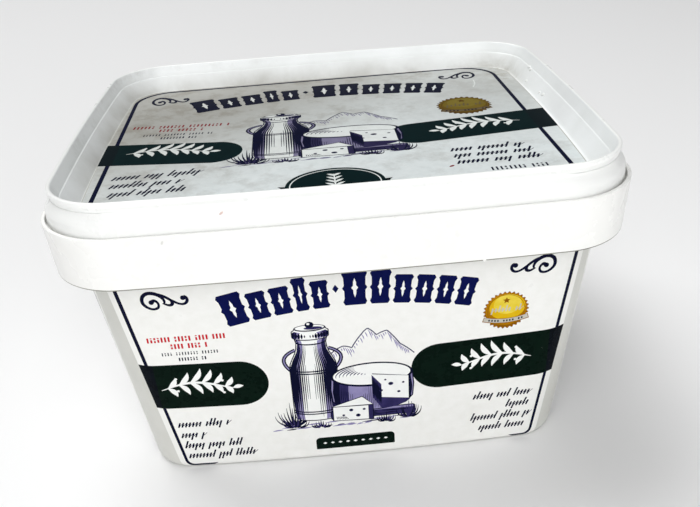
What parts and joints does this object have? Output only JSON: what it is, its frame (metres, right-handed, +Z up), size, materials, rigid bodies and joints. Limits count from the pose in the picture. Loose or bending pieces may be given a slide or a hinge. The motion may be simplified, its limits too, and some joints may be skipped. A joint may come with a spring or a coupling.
{
  "type": "closed cheese tub",
  "caption": "Closed rectangular plastic food tub with tapered walls, rounded corners, a hanging collar and a push-on lid with a recessed panel.",
  "frame": {"origin": "centre of the foot, on the surface that the tub stands on", "axes": "+X along the long side, +Z up, -Y towards the front, which is a long side"},
  "size_m": [0.158, 0.1352, 0.0952],
  "materials": {
    "tub_wall": "injection-moulded white polypropylene, smooth and glossy",
    "lid_wall": "injection-moulded white polypropylene, smooth and glossy, lightly scuffed",
    "label_film": "white label film moulded into the wall, printed in navy, dark green, red and gold"
  },
  "bodies": {
    "root": {"tub": "tub_wall", "lid": "lid_wall"}
  },
  "joints": []
}
